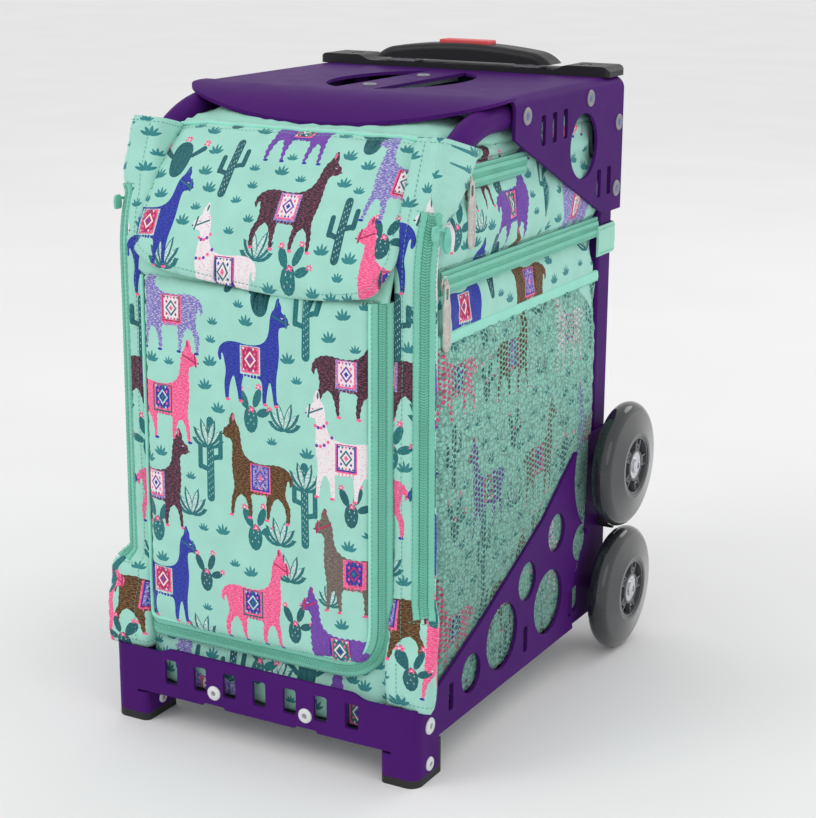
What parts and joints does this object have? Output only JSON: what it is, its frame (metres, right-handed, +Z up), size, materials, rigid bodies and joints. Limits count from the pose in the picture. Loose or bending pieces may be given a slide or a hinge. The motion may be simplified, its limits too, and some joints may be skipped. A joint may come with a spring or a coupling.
{
  "type": "skate bag",
  "caption": "Wheeled skate bag: a sheet-metal and tube frame with a flat seat and a telescoping handle, holding a zipped fabric insert.",
  "frame": {"origin": "on the floor under the centre of the bounding box", "axes": "+Z up, -Y towards the side that opens, +Y towards the wheels' side, +X to the right seen from the front of the bag"},
  "size_m": [0.3222, 0.3716, 0.493],
  "materials": {
    "frame_paint": "satin purple powder coat",
    "steel_plate": "plain steel",
    "fixing_steel": "bright zinc",
    "foot_rubber": "matte",
    "black_plastic": "satin",
    "button_red": "satin",
    "wheel_urethane": "smoky cast urethane",
    "hub_plastic": "satin",
    "print_fabric": "woven, printed with llamas and cacti",
    "plain_fabric": "woven, plain",
    "board": "matte",
    "zip_tape": "coil zip and tape",
    "mesh": "hexagonal net",
    "pull_metal": "cast zinc, polished",
    "pull_rubber": "soft rubber"
  },
  "bodies": {
    "frame": {"axle_bolts": "fixing_steel", "axle_nuts": "fixing_steel", "axle_spacers": "fixing_steel", "bag_body": "print_fabric", "bag_front": "print_fabric", "base_shell": "frame_paint", "bump_stops": "foot_rubber", "cap_screws": "fixing_steel", "corner_brackets": "steel_plate", "corner_sleeve_left": "print_fabric", "corner_sleeve_right": "print_fabric", "floor_board": "board", "floor_tray": "steel_plate", "foot_caps": "foot_rubber", "frame_rivets": "fixing_steel", "frame_screws": "fixing_steel", "front_tube_left": "frame_paint", "front_tube_right": "frame_paint", "handle_foot_block": "black_plastic", "handle_outer_tubes": "steel_plate", "mesh_bindings": "zip_tape", "mesh_pockets": "mesh", "post_straps": "plain_fabric", "rear_cap": "black_plastic", "rear_crossbar": "frame_paint", "rear_panel": "frame_paint", "rear_post_left": "frame_paint", "rear_post_right": "frame_paint", "seat_brace": "steel_plate", "seat_plate": "frame_paint", "top_cover": "plain_fabric", "wheel_bearings": "fixing_steel", "zip_tapes": "zip_tape"},
    "lower_wheel_left": {"lower_tyre_left": "wheel_urethane", "lower_hub_left": "hub_plastic"},
    "lower_wheel_right": {"lower_tyre_right": "wheel_urethane", "lower_hub_right": "hub_plastic"},
    "upper_wheel_left": {"upper_tyre_left": "wheel_urethane", "upper_hub_left": "hub_plastic"},
    "upper_wheel_right": {"upper_tyre_right": "wheel_urethane", "upper_hub_right": "hub_plastic"},
    "handle_mid": {"handle_mid_tubes": "steel_plate"},
    "handle_top": {"handle_inner_tubes": "steel_plate", "handle_grip": "black_plastic"},
    "release": {"release_button": "button_red", "release_rods": "steel_plate"},
    "flap": {"front_flap": "print_fabric"},
    "door": {"front_panel": "print_fabric", "panel_zip_tape": "zip_tape"},
    "panel_slider_left": {"panel_slider_left": "pull_metal"},
    "corner_slider_left": {"corner_slider_left": "pull_rubber"},
    "upper_slider_left": {"upper_slider_left": "pull_metal"},
    "upper_pull_left": {"upper_pull_left": "pull_metal"},
    "lower_slider_left": {"lower_slider_left": "pull_metal"},
    "lower_pull_left": {"lower_pull_left": "pull_metal"},
    "panel_slider_right": {"panel_slider_right": "pull_metal"},
    "corner_slider_right": {"corner_slider_right": "pull_rubber"},
    "upper_slider_right": {"upper_slider_right": "pull_metal"},
    "upper_pull_right": {"upper_pull_right": "pull_metal"},
    "lower_slider_right": {"lower_slider_right": "pull_metal"},
    "lower_pull_right": {"lower_pull_right": "pull_metal"}
  },
  "joints": [
    {"name": "lower_wheel_left_spin", "type": "hinge", "parent": "frame", "child": "lower_wheel_left", "pos_m": [-0.1481, 0.13445, 0.0514], "axis": [1, 0, 0], "continuous": true},
    {"name": "lower_wheel_right_spin", "type": "hinge", "parent": "frame", "child": "lower_wheel_right", "pos_m": [0.1481, 0.13445, 0.0514], "axis": [1, 0, 0], "continuous": true},
    {"name": "upper_wheel_left_spin", "type": "hinge", "parent": "frame", "child": "upper_wheel_left", "pos_m": [-0.1481, 0.13445, 0.1581], "axis": [1, 0, 0], "continuous": true},
    {"name": "upper_wheel_right_spin", "type": "hinge", "parent": "frame", "child": "upper_wheel_right", "pos_m": [0.1481, 0.13445, 0.1581], "axis": [1, 0, 0], "continuous": true},
    {"name": "handle_stage_one", "type": "slide", "parent": "frame", "child": "handle_mid", "axis": [0, 0, 1], "range_m": [0, 0.25]},
    {"name": "handle_stage_two", "type": "slide", "parent": "handle_mid", "child": "handle_top", "axis": [0, 0, 1], "range_m": [0, 0.25]},
    {"name": "release_press", "type": "slide", "parent": "handle_top", "child": "release", "axis": [0, 0, 1], "range_m": [-0.0025, 0], "stiffness_N_per_m": 800, "springref_m": 0.003},
    {"name": "flap_lift", "type": "hinge", "parent": "frame", "child": "flap", "pos_m": [0, -0.11585, 0.4465], "axis": [-1, 0, 0], "range_deg": [0, 110]},
    {"name": "door_fold", "type": "hinge", "parent": "frame", "child": "door", "pos_m": [0, -0.17985, 0.078], "axis": [1, 0, 0], "range_deg": [0, 95]},
    {"name": "panel_slider_left_run", "type": "slide", "parent": "frame", "child": "panel_slider_left", "axis": [0, 0, -1], "range_m": [0, 0.2]},
    {"name": "corner_slider_left_run", "type": "slide", "parent": "frame", "child": "corner_slider_left", "axis": [0, 0, -1], "range_m": [0, 0.24]},
    {"name": "upper_slider_left_run", "type": "slide", "parent": "frame", "child": "upper_slider_left", "axis": [0, 1, 0], "range_m": [0, 0.085]},
    {"name": "lower_slider_left_run", "type": "slide", "parent": "frame", "child": "lower_slider_left", "axis": [0, 1, 0], "range_m": [0, 0.245]},
    {"name": "upper_pull_left_swing", "type": "hinge", "parent": "upper_slider_left", "child": "upper_pull_left", "pos_m": [-0.1286, -0.10635, 0.418], "axis": [0, 1, 0], "range_deg": [0, 100]},
    {"name": "lower_pull_left_swing", "type": "hinge", "parent": "lower_slider_left", "child": "lower_pull_left", "pos_m": [-0.1286, -0.14135, 0.353], "axis": [0, 1, 0], "range_deg": [0, 100]},
    {"name": "panel_slider_right_run", "type": "slide", "parent": "frame", "child": "panel_slider_right", "axis": [0, 0, -1], "range_m": [0, 0.2]},
    {"name": "corner_slider_right_run", "type": "slide", "parent": "frame", "child": "corner_slider_right", "axis": [0, 0, -1], "range_m": [0, 0.24]},
    {"name": "upper_slider_right_run", "type": "slide", "parent": "frame", "child": "upper_slider_right", "axis": [0, 1, 0], "range_m": [0, 0.085]},
    {"name": "lower_slider_right_run", "type": "slide", "parent": "frame", "child": "lower_slider_right", "axis": [0, 1, 0], "range_m": [0, 0.245]},
    {"name": "upper_pull_right_swing", "type": "hinge", "parent": "upper_slider_right", "child": "upper_pull_right", "pos_m": [0.1286, -0.10635, 0.418], "axis": [0, -1, 0], "range_deg": [0, 100]},
    {"name": "lower_pull_right_swing", "type": "hinge", "parent": "lower_slider_right", "child": "lower_pull_right", "pos_m": [0.1286, -0.14135, 0.353], "axis": [0, -1, 0], "range_deg": [0, 100]}
  ],
  "couplings": [
    {"joint": "panel_slider_left_run", "follows": "door_fold", "m_per_rad": 0.12},
    {"joint": "panel_slider_right_run", "follows": "door_fold", "m_per_rad": 0.12}
  ]
}
